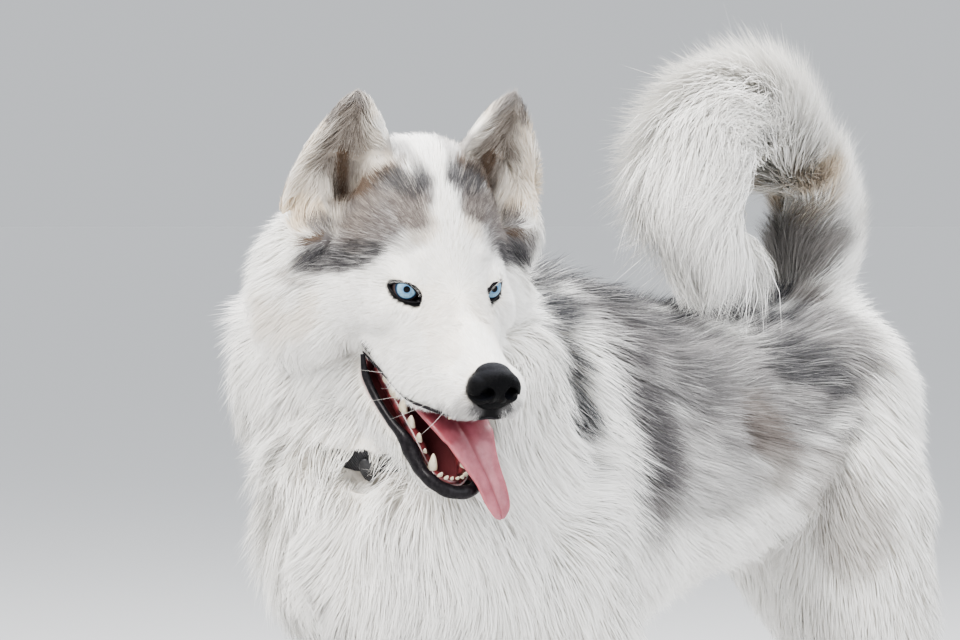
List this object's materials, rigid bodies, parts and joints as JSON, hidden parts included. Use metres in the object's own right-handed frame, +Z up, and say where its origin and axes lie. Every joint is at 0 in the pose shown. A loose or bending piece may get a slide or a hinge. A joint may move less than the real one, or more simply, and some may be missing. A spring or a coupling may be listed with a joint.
{
  "type": "siberian husky",
  "caption": "Still life-size siberian husky standing on four paws, head turned to its left, mouth open with the tongue out, tail curled over the back, wearing a collar.",
  "frame": {"origin": "on the floor, below the middle of the box that holds the whole dog", "axes": "+Z up; the chest faces -Y and the tail end is towards +Y; +X is the dog's left, the side its head is turned to"},
  "size_m": [0.379, 0.8788, 0.8083],
  "materials": {
    "coat": "long white and grey-brown double coat",
    "eye": "wet, clear",
    "nose_leather": "moist, pebbled",
    "tongue": "wet, soft",
    "strap": "dull black",
    "tag": "dull, dark"
  },
  "bodies": {
    "root": {"head": "coat", "jaw": "coat", "ear_left": "coat", "ear_right": "coat", "eye_left": "eye", "eye_right": "eye", "nose": "nose_leather", "tongue": "tongue", "neck": "coat", "trunk": "coat", "tail": "coat", "leg_front_left": "coat", "leg_front_right": "coat", "leg_hind_left": "coat", "leg_hind_right": "coat", "collar": "strap", "collar_tag": "tag"}
  },
  "joints": []
}
